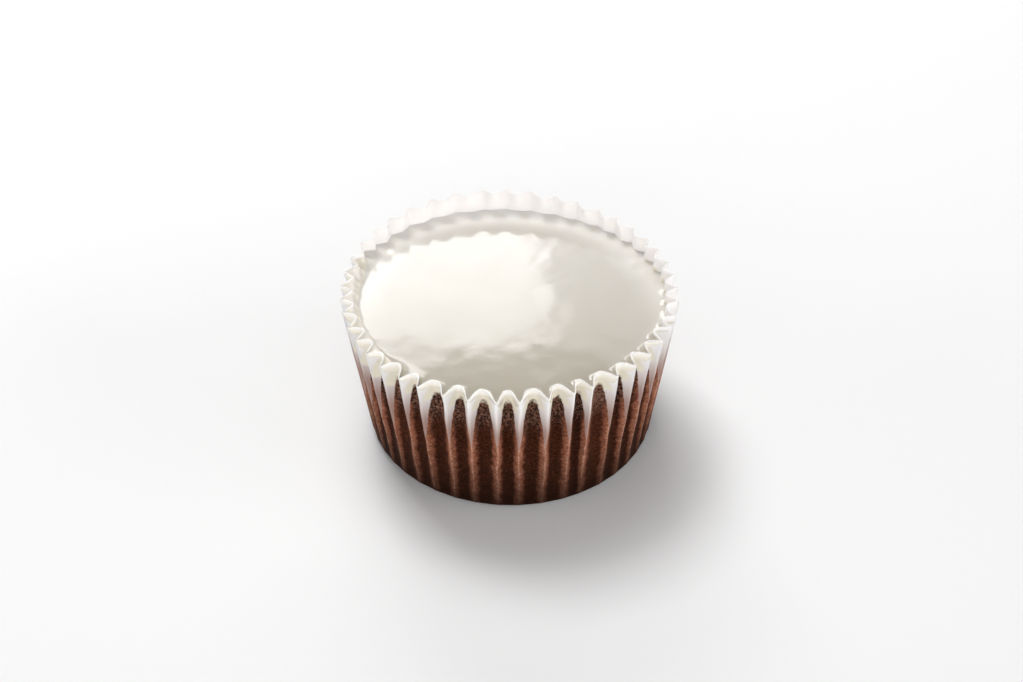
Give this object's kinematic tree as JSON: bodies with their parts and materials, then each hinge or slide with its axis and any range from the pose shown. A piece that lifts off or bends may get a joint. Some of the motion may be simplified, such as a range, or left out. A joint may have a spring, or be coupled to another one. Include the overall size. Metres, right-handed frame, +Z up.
{
  "type": "cupcake",
  "caption": "Round chocolate cupcake in a pleated white paper baking case, filled nearly to the rim and poured with smooth glossy white icing.",
  "frame": {"origin": "on the surface the cupcake stands on, at the centre of its outline", "axes": "+Z up through the cupcake; -Y is the front, where the icing is level with the rim; +X is to the right of the front"},
  "size_m": [0.066, 0.066, 0.0318],
  "materials": {
    "baking_paper": "thin pleated baking paper, matt white above the cake, soaked brown and darker where the sponge touches it",
    "chocolate_sponge": "dull, crumbly dark brown chocolate sponge",
    "white_icing": "smooth, glossy warm white poured icing, slightly translucent"
  },
  "bodies": {
    "root": {"paper_case": "baking_paper", "sponge": "chocolate_sponge", "icing": "white_icing"}
  },
  "joints": []
}
